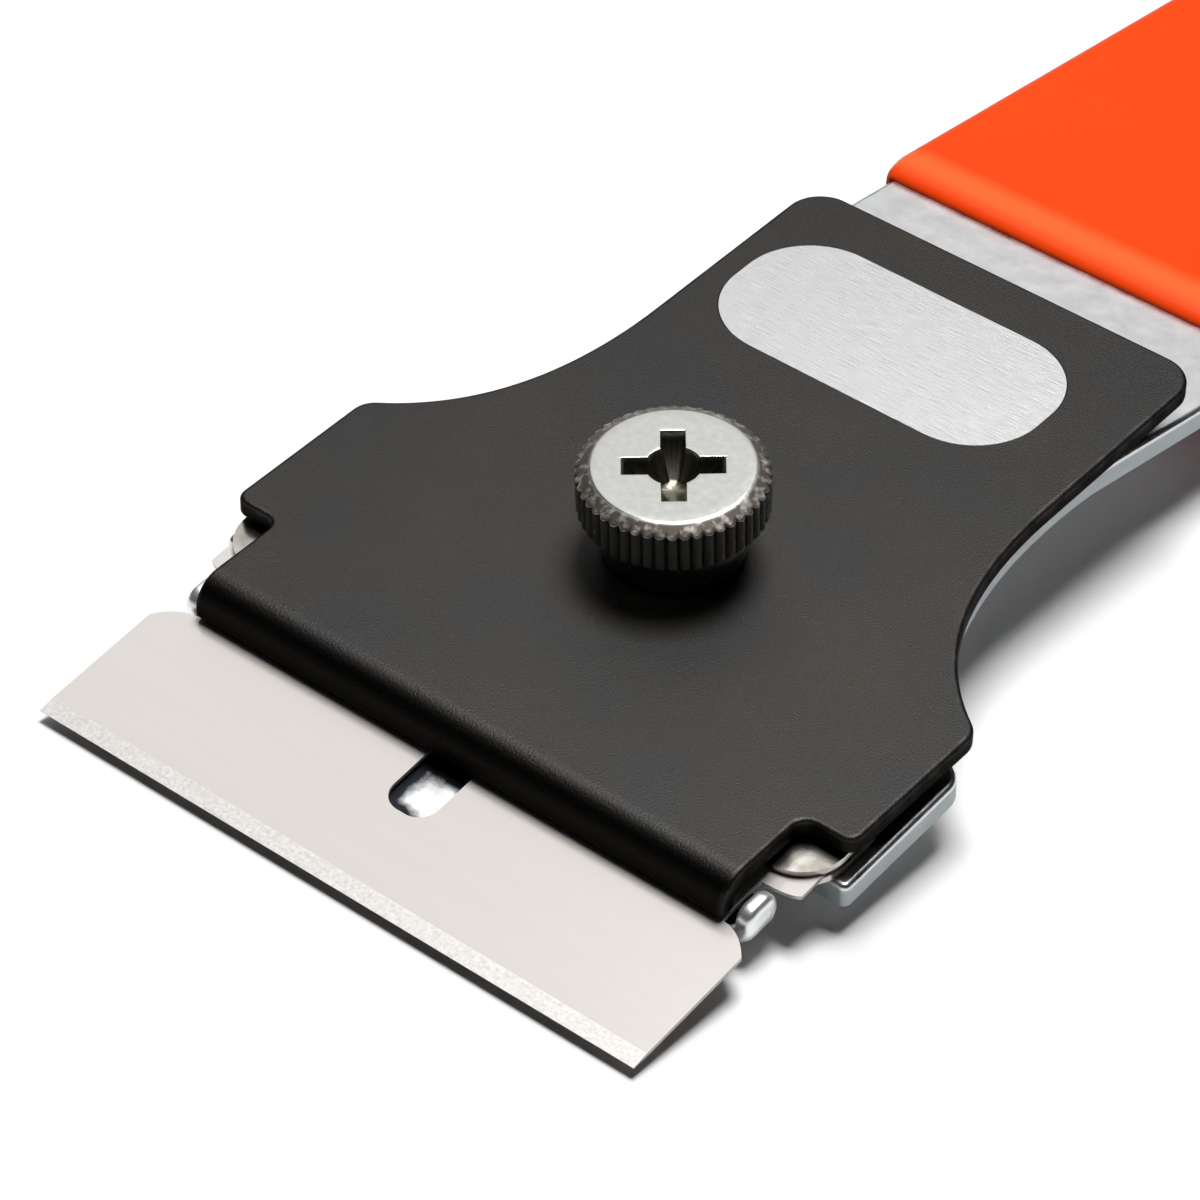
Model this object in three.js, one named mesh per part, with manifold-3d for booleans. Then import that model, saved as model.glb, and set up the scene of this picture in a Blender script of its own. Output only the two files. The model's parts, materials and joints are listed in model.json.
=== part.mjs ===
// A mini scraper: a cranked steel strip with a dipped grip carries a single-edge blade, which a plate clamps
// against it under a thumb screw. It lies on a bench on the toe of its strip and on the heel of its grip.
import * as THREE from "three";
import { mergeVertices } from "three/addons/utils/BufferGeometryUtils.js";
import Module from "manifold-3d";

// Driving dimensions, in millimetres and degrees. In the head, Y runs rearward from the cutting edge and Z up
// from the top of the handle plate; the part is symmetric about X = 0.

// Blade
const BLADE_WIDTH = 38.1; // along the cutting edge
const BLADE_DEPTH = 18.3; // from the cutting edge to the back
const BLADE_THICKNESS = 0.23;
const BEVEL_DEPTH = 0.95;
const EDGE_THICKNESS = 0.02;
const SLOT_FRONT = 5.6;
const SLOT_WIDTH = 2.9;
const SLOT_LENGTH = 6.4;
const SLOT_CORNER = 1.2;
const NOTCH_FRONT_FLARE = 1.3; // along the blade's side
const NOTCH_FRONT_SLANT = 1; // how far in the flare turns towards the notch
const NOTCH_REAR_FLARE = 0.4;

// Folded back of the blade
const SPINE_FRONT = 13.4;
const SPINE_WALL = 0.37;
const SPINE_OVERHANG = 0.35; // past each end of the blade
const SPINE_FRONT_CORNER = 2.6;
const SPINE_REAR_CORNER = 0.6;

// Handle plate
const PLATE_THICKNESS = 1.5;
const TONGUE_FRONT = 5.2;
const TONGUE_HALF_WIDTH = 15.6;
const TONGUE_CORNER = 2.5;
const LUG_FRONT = 9.8;
const LUG_LENGTH = 2.45;
const LUG_HEIGHT = 1.1;
const LUG_THICKNESS = 1.05;
const LUG_BEND_RADIUS = 0.9;
const LUG_TIP_RADIUS = 0.35;
const CUTOUT_HALF_WIDTH = 15.4; // between the cut-outs behind the lugs
const PLATE_WING_FRONT = 15.05;
const PLATE_WING_REAR = 24.4;
const PLATE_WING_REVEAL = 0.7; // past each end of the spine
const WAIST_HALF_WIDTH = 12.4;
const CRANK_START = 42;
const CRANK_RADIUS = 28;
const CRANK_ANGLE = 11.3;
const FLARE_LENGTH = 10; // tail behind the crank, up to its full width
const TAIL_HALF_WIDTH = 12.9;
const TAIL_LENGTH = 100;
const TAIL_CORNER = 8;

// Clamp plate
const CLAMP_THICKNESS = 1;
const LIP_FOOT = 10.35; // rear of the lip where it meets the blade
const LIP_HALF_WIDTH = 16.95;
const LIP_ANGLE = 90;
const LIP_BEND_RADIUS = 0.7;
const CLAMP_WING_FRONT = 15.74;
const CLAMP_WING_REAR = 25.9;
const CLAMP_WING_HALF_WIDTH = 19.95;
const CLAMP_NECK_HALF_WIDTH = 13;
const CLAMP_NECK_END = 42;
const CLAMP_REAR = 56.3;
const CLAMP_REAR_CORNER = 2.2;

// Neck curves of both plates, as reaches of the curve's handles from its two ends
const NECK_WING_REACH = 4.3;
const NECK_WING_SLOPE = 36; // from straight inwards towards the rear
const NECK_WAIST_REACH = 9.5;

// Corners of the stamped plates
const STAMPED_CORNER = 0.8;

// Thumb screw and its press nut
const SCREW_PLACE = 27.2;
const THREAD_DIAMETER = 4.9;
const SHOULDER_DIAMETER = 7.6;
const SHOULDER_HEIGHT = 2.2;
const KNURL_DIAMETER = 10;
const KNURL_HEIGHT = 2.75;
const KNURL_TEETH = 36;
const KNURL_TOOTH_HEIGHT = 0.28;
const KNURL_FOOT_CHAMFER = 0.65;
const HEAD_TOP_DIAMETER = 8.45;
const HEAD_CHAMFER_HEIGHT = 0.45;
const RECESS_SPAN = 5.2;
const RECESS_ARM = 1.25;
const RECESS_CORE_DIAMETER = 2.8;
const RECESS_TIP_DIAMETER = 1.4;
const RECESS_DEPTH = 1.8;
const RECESS_TURN = 39;
const THREAD_END_CHAMFER = 0.5;
const NUT_DIAMETER = 9;
const NUT_HEIGHT = 1.8;
const NUT_CHAMFER = 0.4;
const SPIGOT_DIAMETER = 6.6;

// Grip
const GRIP_WALL = 0.9;
const GRIP_START = 16.3; // behind the crank
const GRIP_EDGE_RADIUS = 1.2;

// Clearances
const BLADE_SEAT_CLEARANCE = 0.05;
const LIP_CLEARANCE = 0.06;
const SPINE_TOP_CLEARANCE = 0.08;
const CREST_CLEARANCE = 0.2;
const FOLD_CLEARANCE = 0.03;
const LUG_CLEARANCE = 0.3; // around each lug in the blade
const LUG_LIP_CLEARANCE = 0.25;
const SCREW_SEAT_CLEARANCE = 0.06;
const THREAD_CLEARANCE = 0.08;
const CLAMP_HOLE_CLEARANCE = 0.35;
const SPIGOT_CLEARANCE = 0.06;
const NUT_SEAT_CLEARANCE = 0.05;
const GRIP_CLEARANCE = 0.05;
const THREAD_SETBACK = 0.1; // of the thread's end inside the nut

// Fineness of round stretches
const CURVE_STEPS = 10;
const ROUND_SEGMENTS = 48;
const OVERCUT = 1; // how far a cutter runs past what it cuts

const wasm = await Module();
wasm.setup();

const radians = THREE.MathUtils.degToRad;

// Solids

function solidOf(geometry) {
  const bare = new THREE.BufferGeometry();
  bare.setAttribute("position", geometry.getAttribute("position"));
  bare.setIndex(geometry.getIndex());
  const merged = mergeVertices(bare);
  return new wasm.Manifold(
    new wasm.Mesh({
      numProp: 3,
      vertProperties: merged.getAttribute("position").array,
      triVerts: new Uint32Array(merged.getIndex().array),
    }),
  );
}

function meshOf(name, solid, material) {
  const { vertProperties, triVerts } = solid.getMesh();
  const geometry = new THREE.BufferGeometry();
  geometry.setAttribute("position", new THREE.BufferAttribute(vertProperties, 3));
  geometry.setIndex(new THREE.BufferAttribute(triVerts, 1));
  geometry.computeVertexNormals();
  const mesh = new THREE.Mesh(geometry, material);
  mesh.name = name;
  return mesh;
}

// A plan outline in X and Y, carried up from bottom to top.
function prism(shape, bottom, top) {
  const geometry = new THREE.ExtrudeGeometry(shape, {
    depth: top - bottom,
    bevelEnabled: false,
    curveSegments: CURVE_STEPS,
  });
  return solidOf(geometry.translate(0, 0, bottom));
}

// A side outline in Y and Z, carried across the part from -halfWidth to halfWidth.
function across(shape, halfWidth) {
  const geometry = new THREE.ExtrudeGeometry(shape, {
    depth: 2 * halfWidth,
    bevelEnabled: false,
    curveSegments: CURVE_STEPS,
  });
  const sideways = new THREE.Matrix4().makeBasis(
    new THREE.Vector3(0, 1, 0),
    new THREE.Vector3(0, 0, 1),
    new THREE.Vector3(1, 0, 0),
  );
  return solidOf(geometry.applyMatrix4(sideways).translate(-halfWidth, 0, 0));
}

// A profile of radius and height pairs, turned about the Z axis.
function turned(profile) {
  const points = profile.map(([radius, height]) => new THREE.Vector2(radius, height));
  const geometry = new THREE.LatheGeometry(points, ROUND_SEGMENTS);
  return solidOf(geometry.rotateX(Math.PI / 2));
}

// Outlines

// A path through corners given as x, y and an optional fillet radius; its two ends stay sharp.
function filletedPath(corners) {
  const path = new THREE.Path();
  corners.forEach(([x, y, radius = 0], index) => {
    const corner = new THREE.Vector2(x, y);
    const before = corners[index - 1];
    const after = corners[index + 1];
    if (!before) path.moveTo(x, y);
    else if (!radius || !after) path.lineTo(x, y);
    else {
      const back = new THREE.Vector2(before[0], before[1]).sub(corner).normalize();
      const ahead = new THREE.Vector2(after[0], after[1]).sub(corner).normalize();
      const half = Math.acos(back.dot(ahead)) / 2;
      const centre = back.clone().add(ahead).setLength(radius / Math.sin(half)).add(corner);
      const from = back.multiplyScalar(radius / Math.tan(half)).add(corner).sub(centre);
      const to = ahead.multiplyScalar(radius / Math.tan(half)).add(corner).sub(centre);
      path.absarc(centre.x, centre.y, radius, from.angle(), to.angle(), from.cross(to) < 0);
    }
  });
  return path;
}

// The closed outline whose right half is the path, from the front of the centre line to its rear.
function mirrored(path) {
  const right = path.getPoints(CURVE_STEPS);
  const left = right.map((point) => new THREE.Vector2(-point.x, point.y)).reverse();
  const onSide = (point) => Math.abs(point.x) > 1e-6;
  return new THREE.Shape([...right, ...left.filter(onSide)]);
}

// The right half of a plate's sweep from the rear corner of its wing to its waist.
function neckCurve(path, wingHalfWidth, wingRear, waistHalfWidth, waistEnd) {
  const slope = radians(NECK_WING_SLOPE);
  path.lineTo(wingHalfWidth, wingRear - STAMPED_CORNER);
  path.quadraticCurveTo(
    wingHalfWidth,
    wingRear,
    wingHalfWidth - STAMPED_CORNER * Math.cos(slope),
    wingRear + STAMPED_CORNER * Math.sin(slope),
  );
  path.bezierCurveTo(
    wingHalfWidth - NECK_WING_REACH * Math.cos(slope),
    wingRear + NECK_WING_REACH * Math.sin(slope),
    waistHalfWidth,
    waistEnd - NECK_WAIST_REACH,
    waistHalfWidth,
    waistEnd,
  );
}

// Derived places

const bladeHalfWidth = BLADE_WIDTH / 2;
const spineHalfWidth = bladeHalfWidth + SPINE_OVERHANG;
const plateWingHalfWidth = spineHalfWidth + PLATE_WING_REVEAL;
const lugRear = LUG_FRONT + LUG_LENGTH;
const lugInner = LIP_HALF_WIDTH + LUG_LIP_CLEARANCE;
const lugOuter = lugInner + LUG_THICKNESS;
const spineRear = BLADE_DEPTH + FOLD_CLEARANCE + SPINE_WALL;

// The blade rides on the front edge of the tongue and on the lower front edge of its spine.
const bladeTilt = Math.atan(SPINE_WALL / (SPINE_FRONT - TONGUE_FRONT));
const bladeRise = BLADE_SEAT_CLEARANCE - TONGUE_FRONT * Math.tan(bladeTilt);
const bladeTopAt = (y) => bladeRise + y * Math.tan(bladeTilt) + BLADE_THICKNESS / Math.cos(bladeTilt);

// The underside of the clamp plate clears the rear of the spine, and the crest where the handle plate cranks.
const spineTop = bladeTopAt(spineRear) + FOLD_CLEARANCE + SPINE_WALL;
const overSpine = spineTop + SPINE_TOP_CLEARANCE;
const clampTilt = Math.atan((CREST_CLEARANCE - overSpine) / (CRANK_START - spineRear));
const clampRise = overSpine - spineRear * Math.tan(clampTilt);
const clampUnderAt = (y) => clampRise + y * Math.tan(clampTilt);
const lipDrop = (clampUnderAt(LIP_FOOT) - bladeTopAt(LIP_FOOT) - LIP_CLEARANCE) * Math.cos(clampTilt);

// The tail starts at the end of the crank and falls by the crank's angle.
const crank = radians(CRANK_ANGLE);
const tailStart = new THREE.Vector2(
  CRANK_START + CRANK_RADIUS * Math.sin(crank),
  CRANK_RADIUS * (Math.cos(crank) - 1),
);

// The screw's shoulder clears the sloping top of the clamp plate all round.
const screwSeat =
  clampUnderAt(SCREW_PLACE) +
  CLAMP_THICKNESS / Math.cos(clampTilt) +
  (SHOULDER_DIAMETER / 2) * Math.tan(-clampTilt) +
  SCREW_SEAT_CLEARANCE;
const nutUnder = -PLATE_THICKNESS - NUT_SEAT_CLEARANCE - NUT_HEIGHT;

// Places a solid made in the tail's own frame, whose Y runs along the tail, into the head's frame.
function tailToHead(solid) {
  const place = new THREE.Matrix4().makeRotationX(-crank).setPosition(0, tailStart.x, tailStart.y);
  return solid.transform(place.toArray());
}

// Handle plate

// The bent strip seen from the side, before its outline is cut.
function cranked() {
  const shape = new THREE.Shape();
  const centre = new THREE.Vector2(CRANK_START, -CRANK_RADIUS);
  const along = new THREE.Vector2(Math.cos(crank), -Math.sin(crank)).multiplyScalar(TAIL_LENGTH);
  const inward = new THREE.Vector2(-Math.sin(crank), -Math.cos(crank)).multiplyScalar(PLATE_THICKNESS);
  const tailEnd = tailStart.clone().add(along);
  const tailEndUnder = tailEnd.clone().add(inward);
  shape.moveTo(TONGUE_FRONT, -PLATE_THICKNESS);
  shape.lineTo(CRANK_START, -PLATE_THICKNESS);
  shape.absarc(centre.x, centre.y, CRANK_RADIUS - PLATE_THICKNESS, Math.PI / 2, Math.PI / 2 - crank, true);
  shape.lineTo(tailEndUnder.x, tailEndUnder.y);
  shape.lineTo(tailEnd.x, tailEnd.y);
  shape.absarc(centre.x, centre.y, CRANK_RADIUS, Math.PI / 2 - crank, Math.PI / 2, false);
  shape.lineTo(TONGUE_FRONT, 0);
  return shape;
}

function headOutline() {
  const path = filletedPath([
    [0, TONGUE_FRONT],
    [TONGUE_HALF_WIDTH, TONGUE_FRONT, TONGUE_CORNER],
    [TONGUE_HALF_WIDTH, LUG_FRONT],
    [lugOuter - LUG_BEND_RADIUS, LUG_FRONT],
    [lugOuter - LUG_BEND_RADIUS, lugRear],
    [CUTOUT_HALF_WIDTH, lugRear, STAMPED_CORNER],
    [CUTOUT_HALF_WIDTH, PLATE_WING_FRONT, STAMPED_CORNER],
    [plateWingHalfWidth, PLATE_WING_FRONT, STAMPED_CORNER],
    [plateWingHalfWidth, PLATE_WING_FRONT + 2 * STAMPED_CORNER],
  ]);
  neckCurve(path, plateWingHalfWidth, PLATE_WING_REAR, WAIST_HALF_WIDTH, CRANK_START);
  path.lineTo(WAIST_HALF_WIDTH, tailStart.x + OVERCUT);
  path.lineTo(0, tailStart.x + OVERCUT);
  return mirrored(path);
}

// The tail's outline, grown by a margin on every side but its start.
function tailOutline(start, margin) {
  const corners = [[0, start]];
  const waist = WAIST_HALF_WIDTH + margin;
  const full = TAIL_HALF_WIDTH + margin;
  if (start < FLARE_LENGTH) corners.push([waist, start], [waist, 0], [full, FLARE_LENGTH]);
  else corners.push([full, start]);
  corners.push([full, TAIL_LENGTH + margin, TAIL_CORNER + margin], [0, TAIL_LENGTH + margin]);
  return mirrored(filletedPath(corners));
}

// One upturned lug seen from the front, with the bend at its foot and a rounded tip.
function lugSection() {
  const foot = lugOuter - LUG_BEND_RADIUS;
  const path = filletedPath([
    [foot, -PLATE_THICKNESS],
    [lugOuter, -PLATE_THICKNESS, LUG_BEND_RADIUS],
    [lugOuter, LUG_HEIGHT, LUG_TIP_RADIUS],
    [lugInner, LUG_HEIGHT, LUG_TIP_RADIUS],
    [lugInner, -PLATE_THICKNESS],
  ]);
  return new THREE.Shape(path.getPoints(CURVE_STEPS));
}

function makeLug(side) {
  const geometry = new THREE.ExtrudeGeometry(lugSection(), { depth: LUG_LENGTH, bevelEnabled: false });
  geometry.rotateX(Math.PI / 2).translate(0, lugRear, 0);
  const lug = solidOf(geometry);
  return side > 0 ? lug : lug.mirror([1, 0, 0]);
}

function makeHandlePlate() {
  const widest = Math.max(plateWingHalfWidth, TAIL_HALF_WIDTH, lugOuter) + OVERCUT;
  const head = prism(headOutline(), -PLATE_THICKNESS - CRANK_RADIUS, OVERCUT);
  const tail = tailToHead(prism(tailOutline(-OVERCUT, 0), -PLATE_THICKNESS - OVERCUT, OVERCUT));
  const hole = SPIGOT_DIAMETER / 2 + SPIGOT_CLEARANCE;
  const spigotHole = turned([
    [0, -PLATE_THICKNESS - OVERCUT],
    [hole, -PLATE_THICKNESS - OVERCUT],
    [hole, OVERCUT],
    [0, OVERCUT],
  ]);
  return across(cranked(), widest)
    .intersect(head.add(tail))
    .add(makeLug(1))
    .add(makeLug(-1))
    .subtract(spigotHole.translate(0, SCREW_PLACE, 0));
}

// Grip

function makeGrip() {
  const outline = tailOutline(GRIP_START + GRIP_EDGE_RADIUS, GRIP_WALL - GRIP_EDGE_RADIUS);
  const bottom = -PLATE_THICKNESS - GRIP_WALL;
  const body = new THREE.ExtrudeGeometry(outline, {
    depth: GRIP_WALL - bottom - 2 * GRIP_EDGE_RADIUS,
    bevelEnabled: true,
    bevelThickness: GRIP_EDGE_RADIUS,
    bevelSize: GRIP_EDGE_RADIUS,
    bevelSegments: 4,
  });
  body.translate(0, 0, bottom + GRIP_EDGE_RADIUS);
  const pocket = prism(
    tailOutline(GRIP_START - OVERCUT, GRIP_CLEARANCE),
    -PLATE_THICKNESS - GRIP_CLEARANCE,
    GRIP_CLEARANCE,
  );
  return solidOf(body).subtract(pocket);
}

// Press nut

function makePressNut() {
  const bore = THREAD_DIAMETER / 2 + THREAD_CLEARANCE;
  const body = NUT_DIAMETER / 2;
  const spigot = SPIGOT_DIAMETER / 2;
  const shelf = -PLATE_THICKNESS - NUT_SEAT_CLEARANCE;
  return turned([
    [bore, nutUnder],
    [body - NUT_CHAMFER, nutUnder],
    [body, nutUnder + NUT_CHAMFER],
    [body, shelf],
    [spigot, shelf],
    [spigot, 0],
    [bore, 0],
    [bore, nutUnder],
  ]);
}

// Blade and its folded back

function bladeOutline() {
  const notchInner = lugInner - LUG_CLEARANCE;
  const notchFront = LUG_FRONT - LUG_CLEARANCE;
  const notchRear = lugRear + LUG_CLEARANCE;
  const path = new THREE.Path();
  path.moveTo(0, 0);
  path.lineTo(bladeHalfWidth, 0);
  path.lineTo(bladeHalfWidth, notchFront - NOTCH_FRONT_FLARE);
  path.quadraticCurveTo(bladeHalfWidth - NOTCH_FRONT_SLANT, notchFront, notchInner, notchFront);
  path.lineTo(notchInner, notchRear);
  path.quadraticCurveTo(bladeHalfWidth - NOTCH_REAR_FLARE, notchRear, bladeHalfWidth, notchRear + NOTCH_REAR_FLARE);
  path.lineTo(bladeHalfWidth, BLADE_DEPTH);
  path.lineTo(0, BLADE_DEPTH);
  return mirrored(path);
}

// The blade seen from the side: a strip ground to its edge from both faces.
function bladeSection() {
  const middle = BLADE_THICKNESS / 2;
  const edge = EDGE_THICKNESS / 2;
  return new THREE.Shape([
    new THREE.Vector2(0, middle - edge),
    new THREE.Vector2(BEVEL_DEPTH, 0),
    new THREE.Vector2(BLADE_DEPTH, 0),
    new THREE.Vector2(BLADE_DEPTH, BLADE_THICKNESS),
    new THREE.Vector2(BEVEL_DEPTH, BLADE_THICKNESS),
    new THREE.Vector2(0, middle + edge),
  ]);
}

function slotOutline() {
  const half = SLOT_WIDTH / 2;
  const rear = SLOT_FRONT + SLOT_LENGTH;
  return mirrored(
    filletedPath([
      [0, SLOT_FRONT],
      [half, SLOT_FRONT, SLOT_CORNER],
      [half, rear, SLOT_CORNER],
      [0, rear],
    ]),
  );
}

function makeBlade() {
  const cutter = prism(slotOutline(), -OVERCUT, OVERCUT);
  return across(bladeSection(), bladeHalfWidth)
    .intersect(prism(bladeOutline(), -OVERCUT, OVERCUT))
    .subtract(cutter);
}

function makeSpine() {
  const bottom = -FOLD_CLEARANCE - SPINE_WALL;
  const top = BLADE_THICKNESS + FOLD_CLEARANCE + SPINE_WALL;
  const outline = mirrored(
    filletedPath([
      [0, SPINE_FRONT],
      [spineHalfWidth, SPINE_FRONT, SPINE_FRONT_CORNER],
      [spineHalfWidth, spineRear, SPINE_REAR_CORNER],
      [0, spineRear],
    ]),
  );
  const fold = new THREE.Shape([
    new THREE.Vector2(SPINE_FRONT - OVERCUT, -FOLD_CLEARANCE),
    new THREE.Vector2(BLADE_DEPTH + FOLD_CLEARANCE, -FOLD_CLEARANCE),
    new THREE.Vector2(BLADE_DEPTH + FOLD_CLEARANCE, BLADE_THICKNESS + FOLD_CLEARANCE),
    new THREE.Vector2(SPINE_FRONT - OVERCUT, BLADE_THICKNESS + FOLD_CLEARANCE),
  ]);
  return prism(outline, bottom, top).subtract(across(fold, spineHalfWidth + OVERCUT));
}

// Clamp plate

// The plate seen from the side: its lip leans down from the bend to the blade. Z = 0 is its underside.
function lippedSection() {
  const lean = radians(LIP_ANGLE);
  const legLength = (lipDrop - LIP_BEND_RADIUS * (1 - Math.cos(lean))) / Math.sin(lean);
  const bendStart = LIP_FOOT + legLength * Math.cos(lean) + LIP_BEND_RADIUS * Math.sin(lean);
  const outerRadius = LIP_BEND_RADIUS + CLAMP_THICKNESS;
  const up = Math.PI / 2;
  const shape = new THREE.Shape();
  shape.moveTo(CLAMP_REAR, CLAMP_THICKNESS);
  shape.lineTo(bendStart, CLAMP_THICKNESS);
  shape.absarc(bendStart, -LIP_BEND_RADIUS, outerRadius, up, up + lean, false);
  shape.lineTo(LIP_FOOT - CLAMP_THICKNESS * Math.sin(lean), CLAMP_THICKNESS * Math.cos(lean) - lipDrop);
  shape.lineTo(LIP_FOOT, -lipDrop);
  shape.absarc(bendStart, -LIP_BEND_RADIUS, LIP_BEND_RADIUS, up + lean, up, true);
  shape.lineTo(CLAMP_REAR, 0);
  return shape;
}

function clampOutline() {
  const lipFront = LIP_FOOT - CLAMP_THICKNESS - OVERCUT;
  const path = filletedPath([
    [0, lipFront],
    [LIP_HALF_WIDTH, lipFront],
    [LIP_HALF_WIDTH, CLAMP_WING_FRONT, STAMPED_CORNER],
    [CLAMP_WING_HALF_WIDTH, CLAMP_WING_FRONT, STAMPED_CORNER],
    [CLAMP_WING_HALF_WIDTH, CLAMP_WING_FRONT + 2 * STAMPED_CORNER],
  ]);
  neckCurve(path, CLAMP_WING_HALF_WIDTH, CLAMP_WING_REAR, CLAMP_NECK_HALF_WIDTH, CLAMP_NECK_END);
  path.lineTo(CLAMP_NECK_HALF_WIDTH, CLAMP_REAR - CLAMP_REAR_CORNER);
  path.absarc(
    CLAMP_NECK_HALF_WIDTH - CLAMP_REAR_CORNER,
    CLAMP_REAR - CLAMP_REAR_CORNER,
    CLAMP_REAR_CORNER,
    0,
    Math.PI / 2,
    false,
  );
  path.lineTo(0, CLAMP_REAR);
  return mirrored(path);
}

function makeClampPlate() {
  const low = -lipDrop - OVERCUT;
  const high = CLAMP_THICKNESS + OVERCUT;
  const radius = THREAD_DIAMETER / 2 + CLAMP_HOLE_CLEARANCE;
  const hole = turned([
    [0, low],
    [radius, low],
    [radius, high],
    [0, high],
  ]);
  return across(lippedSection(), CLAMP_WING_HALF_WIDTH + OVERCUT)
    .intersect(prism(clampOutline(), low, high))
    .subtract(hole.translate(0, SCREW_PLACE / Math.cos(clampTilt), 0));
}

// Thumb screw, with Z = 0 under its shoulder

function knurlOutline() {
  const points = [];
  for (let index = 0; index < 2 * KNURL_TEETH; index += 1) {
    const angle = (index * Math.PI) / KNURL_TEETH;
    const radius = KNURL_DIAMETER / 2 - (index % 2) * KNURL_TOOTH_HEIGHT;
    points.push(new THREE.Vector2(radius * Math.cos(angle), radius * Math.sin(angle)));
  }
  return new THREE.Shape(points);
}

function makeThumbScrew() {
  const thread = THREAD_DIAMETER / 2;
  const shoulder = SHOULDER_DIAMETER / 2;
  const rim = KNURL_DIAMETER / 2;
  const threadEnd = nutUnder + THREAD_SETBACK - screwSeat;
  const chamferStart = SHOULDER_HEIGHT + KNURL_HEIGHT;
  const top = chamferStart + HEAD_CHAMFER_HEIGHT;
  const stem = turned([
    [0, threadEnd],
    [thread - THREAD_END_CHAMFER, threadEnd],
    [thread, threadEnd + THREAD_END_CHAMFER],
    [thread, 0],
    [shoulder, 0],
    [shoulder, SHOULDER_HEIGHT + OVERCUT],
    [0, SHOULDER_HEIGHT + OVERCUT],
  ]);
  const turnedHead = turned([
    [0, SHOULDER_HEIGHT],
    [rim - KNURL_FOOT_CHAMFER, SHOULDER_HEIGHT],
    [rim, SHOULDER_HEIGHT + KNURL_FOOT_CHAMFER],
    [rim, chamferStart],
    [HEAD_TOP_DIAMETER / 2, top],
    [0, top],
  ]);
  const knurled = turnedHead.intersect(prism(knurlOutline(), 0, top));
  return stem.add(knurled).subtract(makeRecess().translate(0, 0, top));
}

// The cutter of the cross recess, with Z = 0 at the screw's top: two crossed arms and a tapered core.
function makeRecess() {
  const core = RECESS_CORE_DIAMETER / 2;
  const arm = prism(rectangle(RECESS_SPAN, RECESS_ARM), -RECESS_DEPTH, OVERCUT);
  const tapered = turned([
    [0, -RECESS_DEPTH],
    [RECESS_TIP_DIAMETER / 2, -RECESS_DEPTH],
    [core, 0],
    [core, OVERCUT],
    [0, OVERCUT],
  ]);
  return arm.add(arm.rotate([0, 0, 90])).add(tapered).rotate([0, 0, RECESS_TURN]);
}

function rectangle(length, width) {
  return new THREE.Shape([
    new THREE.Vector2(-length / 2, -width / 2),
    new THREE.Vector2(length / 2, -width / 2),
    new THREE.Vector2(length / 2, width / 2),
    new THREE.Vector2(-length / 2, width / 2),
  ]);
}

// Materials

const zinc = new THREE.MeshStandardMaterial({ color: 0xc9cdd0, roughness: 0.28, metalness: 1 });
const turnedZinc = new THREE.MeshStandardMaterial({ color: 0xc2c3bd, roughness: 0.32, metalness: 1 });
const bladeSteel = new THREE.MeshStandardMaterial({ color: 0xcbc4bf, roughness: 0.4, metalness: 1 });
const spineSteel = new THREE.MeshStandardMaterial({ color: 0xd2cfc8, roughness: 0.3, metalness: 1 });
const blackOxide = new THREE.MeshStandardMaterial({ color: 0x33312f, roughness: 0.55, metalness: 0.4 });
const orangeVinyl = new THREE.MeshStandardMaterial({ color: 0xff5a22, roughness: 0.5, metalness: 0 });

// Assembly, in the head's frame first

const tail = new THREE.Group();
tail.position.set(0, tailStart.x, tailStart.y);
tail.rotation.x = -crank;
tail.add(meshOf("grip", makeGrip(), orangeVinyl));

const bladeGroup = new THREE.Group();
bladeGroup.position.z = bladeRise;
bladeGroup.rotation.x = bladeTilt;
bladeGroup.add(meshOf("blade", makeBlade(), bladeSteel));
bladeGroup.add(meshOf("blade_spine", makeSpine(), spineSteel));

const clamp = new THREE.Group();
clamp.position.z = clampRise;
clamp.rotation.x = clampTilt;
clamp.add(meshOf("clamp_plate", makeClampPlate(), blackOxide));

const nut = meshOf("press_nut", makePressNut(), turnedZinc);
nut.position.y = SCREW_PLACE;

const screw = meshOf("thumb_screw", makeThumbScrew(), turnedZinc);
screw.position.set(0, SCREW_PLACE, screwSeat);

const scraper = new THREE.Group();
scraper.add(meshOf("handle_plate", makeHandlePlate(), zinc), tail, bladeGroup, clamp, nut, screw);

// Laid on the bench: the head is pitched up until the toe of the strip and the heel of the grip are level,
// and the origin is moved under the middle of the part.
const toe = new THREE.Vector3(0, TONGUE_FRONT, -PLATE_THICKNESS);
const heel = new THREE.Vector3(0, TAIL_LENGTH + GRIP_WALL - GRIP_EDGE_RADIUS, -PLATE_THICKNESS - GRIP_WALL);
scraper.updateMatrixWorld(true);
heel.applyMatrix4(tail.matrixWorld);
scraper.rotation.x = Math.atan2(toe.z - heel.z, heel.y - toe.y);
scraper.updateMatrixWorld(true);
const extent = new THREE.Box3().setFromObject(scraper, true);
scraper.position.y = -(extent.min.y + extent.max.y) / 2;
scraper.position.z = -extent.min.z;

const part = new THREE.Group();
part.add(scraper);

export default part;
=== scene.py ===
"""A mini scraper on a white bench: a cranked zinc strip with a dipped orange grip, a black clamp plate
over a single-edge blade, and a knurled thumb screw. Lengths in the shape functions are millimetres in a
piece's own frame, X across the blade, Y rearward from the cutting edge and Z up; place() takes them into
the part's frame in metres."""
import json

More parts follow.
